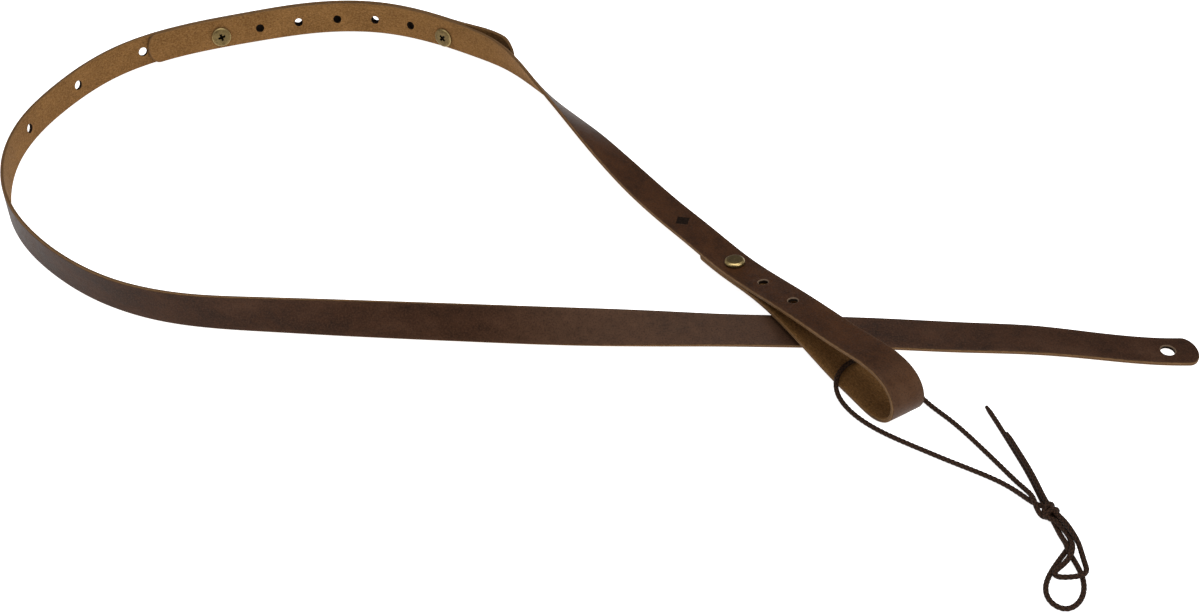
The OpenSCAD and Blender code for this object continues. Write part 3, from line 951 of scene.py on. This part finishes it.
class Lathe:
    """A mesh of rings about the Z axis, each with its own outline, height and brightness, from wear,
    painted highlights and painted shade.
    """

    def __init__(self, around=96):
        self.around = around
        self.turn = np.arange(around) * 2 * np.pi / around
        self.points, self.faces, self.rub = [], [], []
        self.last = None

    def ring(self, radius, z, rub=0.0):
        """Each value is a number, or one for each point. rub runs from -1, dark, to 1, bright: -1 is
        painted shade in the screw's cross recess, the brightest values on one side of the cap's rim
        are a painted highlight, and other bright values are wear.
        """
        r = np.broadcast_to(radius, self.turn.shape)
        height = np.broadcast_to(z, self.turn.shape)
        start = len(self.points)
        self.points += list(np.stack([r * np.cos(self.turn), r * np.sin(self.turn), height], axis=1))
        self.rub += list(np.broadcast_to(rub, self.turn.shape))
        here = [start + k for k in range(self.around)]
        if self.last:
            for k in range(self.around):
                m = (k + 1) % self.around
                self.faces.append((self.last[k], self.last[m], here[m], here[k]))
        self.last = here

    def close(self, z, rub):
        """Closes the last ring with a point on the axis."""
        start = len(self.points)
        self.points.append(np.array([0.0, 0.0, z]))
        self.rub.append(rub)
        for k in range(self.around):
            self.faces.append((self.last[k], self.last[(k + 1) % self.around], start))

    def place(self, name, axis, along, middle):
        """Adds the mesh with its Z along an axis, its X along the strap and its middle at a point."""
        z = unit(np.array(axis, float))
        x = unit(along - dot(along, z) * z)
        y = np.cross(z, x)
        points = np.array(self.points) @ np.stack([x, y, z]) + middle
        return add_mesh(name, points, self.faces, [brass], attributes={"rub": self.rub}, sharp=42)


def cap_post():
    """The post: a barrel with a blind bore, and a flat cap whose bevel carries a painted highlight on
    one side.
    """
    shape = Lathe()
    # Painted highlight: this share makes the cap's rim bright on one side only.
    near = 0.5 + 0.5 * np.cos(shape.turn - math.radians(CAP_HIGHLIGHT_TURN))
    top = STACK_HALF + CAP_SEAT
    end = -STACK_HALF - 0.1 * MM
    shape.ring(0.05 * MM, top + 0.4 * MM)
    shape.ring(BORE_R, top + 0.4 * MM)
    shape.ring(BORE_R, end + 0.15 * MM)
    shape.ring(BORE_R + 0.12 * MM, end, 0.6)
    shape.ring(BARREL_R - 0.1 * MM, end, 0.6)
    shape.ring(BARREL_R, end + 0.1 * MM, 0.3)
    shape.ring(BARREL_R, top)
    shape.ring(CAP_R - 0.25 * MM, top, 0.2)
    for degrees, rub in ((0, 0.1), (30, 0.2), (60, 0.25), (90, 0.2)):
        a = math.radians(degrees)
        shape.ring(CAP_R - 0.2 * MM * (1 - math.sin(a)), top + 0.2 * MM * (1 - math.cos(a)), rub)
    crown = [  # (inside the rim, above the leather, brightness: a painted highlight on one side, darker on the face)
        (0, 1.15, 0.25 * near), (0.08, 1.4, 0.7 * near), (0.35, 1.75, near**0.5),
        (0.75, 2.05, 0.9 * near), (0.95, 2.15, 0.3 * near), (1.2, 2.19, -0.2), (2.2, 2.2, -0.35),
    ]
    for inset, rise, rub in crown:
        shape.ring(CAP_R - inset * MM, top + rise * MM, rub)
    shape.ring(1.2 * MM, top + 2.2 * MM, -0.35)
    shape.close(top + 2.2 * MM, -0.3)
    return shape


def cross_radius(turn, half_width, reach):
    """Distance from the centre to the outline of a cross, at each turn about it."""
    c, s = np.abs(np.cos(turn)), np.abs(np.sin(turn))
    big, small = np.maximum(c, s), np.minimum(c, s)
    return np.minimum(reach / big, half_width / np.maximum(small, 1e-6))


def machine_screw():
    """The screw: a slightly domed head with a cross recess, and a threaded shank."""
    shape = Lathe(144)
    turn = shape.turn
    seat = -STACK_HALF - HEAD_SEAT
    face = seat - HEAD_T
    # Painted shade: the cross recess is painted near black.
    recess_shade_and_dark_face = -1.0
    shape.ring(0.3 * MM, face + 1.0 * MM, recess_shade_and_dark_face)
    for half_width, reach, depth in ((0.46, 1.5, 0.95), (0.66, 2.1, 0.3), (0.70, 2.25, 0.05)):
        shape.ring(cross_radius(turn, half_width * MM, reach * MM), face + depth * MM, recess_shade_and_dark_face)
    edge = cross_radius(turn, 0.76 * MM, 2.3 * MM)
    shape.ring(edge, face, -0.2)
    for share in (0.25, 0.5, 0.75):
        shape.ring(edge * (1 - share) + 2.9 * MM * share, face, -0.12)
    shape.ring(3.6 * MM, face + 0.01 * MM, -0.1)
    shape.ring(4.5 * MM, face + 0.06 * MM, -0.1)
    for inset, depth, rub in ((0.7, 0.18, 0.05), (0.35, 0.36, 0.4), (0.08, 0.62, 0.5), (0, 0.85, 0.5)):
        shape.ring(HEAD_R - inset * MM, face + depth * MM, rub)
    shape.ring(HEAD_R - 0.05 * MM, seat - 0.1 * MM, 0.3)
    shape.ring(HEAD_R - 0.2 * MM, seat)
    shape.ring(2.1 * MM, seat)
    shape.ring(1.95 * MM, seat + 0.15 * MM)
    top, steps = STACK_HALF + CAP_SEAT, 64
    for k in range(steps + 1):
        z = seat + 0.3 * MM + (top - seat - 0.6 * MM) * k / steps
        wave = (z / THREAD_PITCH - turn / (2 * np.pi)) % 1
        crest = 1 - np.abs(2 * wave - 1)
        fade = min(1.0, k / 4, (steps - k) / 4)
        shape.ring(1.62 * MM + 0.31 * MM * crest * fade, z, 0.25)
    shape.ring(1.5 * MM, top - 0.2 * MM, 0.4)
    shape.close(top - 0.15 * MM, 0.3)
    return shape


def place_fastener(name, s, recess_turn):
    """Places one screw post's two pieces on their CAD bodies, the cross turned by some degrees."""
    axis = joints[name + "_post_release"]["axis"]
    middle = np.array(joints[name + "_screw_turn"]["pos_m"], float)
    _, along, wide, _ = route.at(np.array([s]))
    turn = math.radians(recess_turn)
    turned = along[0] * math.cos(turn) + wide[0] * math.sin(turn)
    for part, shape, direction in (("post", cap_post(), along[0]), ("screw", machine_screw(), turned)):
        node = f"{name}_{part}"
        piece = shape.place(node + "_brass", axis, direction, middle)
        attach(piece, node)
        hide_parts(node)


place_fastener("rear_adjuster", REAR_S, 12)
place_fastener("front_adjuster", FRONT_S, 50)
place_fastener("loop", LOOP_S, 30)

# ---- floor and light ----------------------------------------------------------------------------

LIGHT_TARGET = (-0.25, 0.08, 0)


def make_floor():
    """A plain pale floor just under the lowest leather."""
    p = Paint("pale_floor")
    place = p.nodes.new("ShaderNodeTexCoord").outputs["Object"]
    p.set(Base_Color=p.ramp(p.noise(place, 3), (0.3, 0.86), (0.7, 0.88)), Roughness=0.9)
    p.set(Specular_IOR_Level=0.1, Emission_Color=(1.0, 1.0, 1.0), Emission_Strength=0.85)
    half, z = 6.0, -0.4 * MM
    corners = [(-half, -half, z), (half, -half, z), (half, half, z), (-half, half, z)]
    floor = add_mesh("floor", corners, [(0, 1, 2, 3)], [p.material])


def make_light(name, at, size, power):
    """An area light that faces the middle of the strap."""
    data = bpy.data.lights.new(name, "AREA")
    data.shape = "RECTANGLE"
    data.size, data.size_y = size
    data.energy = power
    light = bpy.data.objects.new(name, data)
    light.location = at
    x, y, z = unit(np.array(at) - np.array(LIGHT_TARGET))
    light.rotation_euler = (math.acos(z), 0, math.atan2(x, -y))
    bpy.context.scene.collection.objects.link(light)


def make_world():
    world = bpy.data.worlds.new("soft_studio")
    world.use_nodes = True
    background = world.node_tree.nodes["Background"]
    background.inputs["Color"].default_value = (1.0, 1.0, 1.0, 1)
    background.inputs["Strength"].default_value = 0.25
    bpy.context.scene.world = world
    bpy.context.scene.view_settings.view_transform = "Standard"


make_floor()
make_light("overhead_softbox", (-0.3, 0.1, 2.6), (3.2, 2.4), 52)
make_light("left_softbox", (-1.7, -0.5, 1.3), (1.2, 1.2), 5)
make_light("back_strip", (-0.2, 1.2, 2.3), (0.5, 0.4), 6)
make_light("right_softbox", (1.0, -1.3, 1.3), (1.6, 1.2), 20)
make_world()
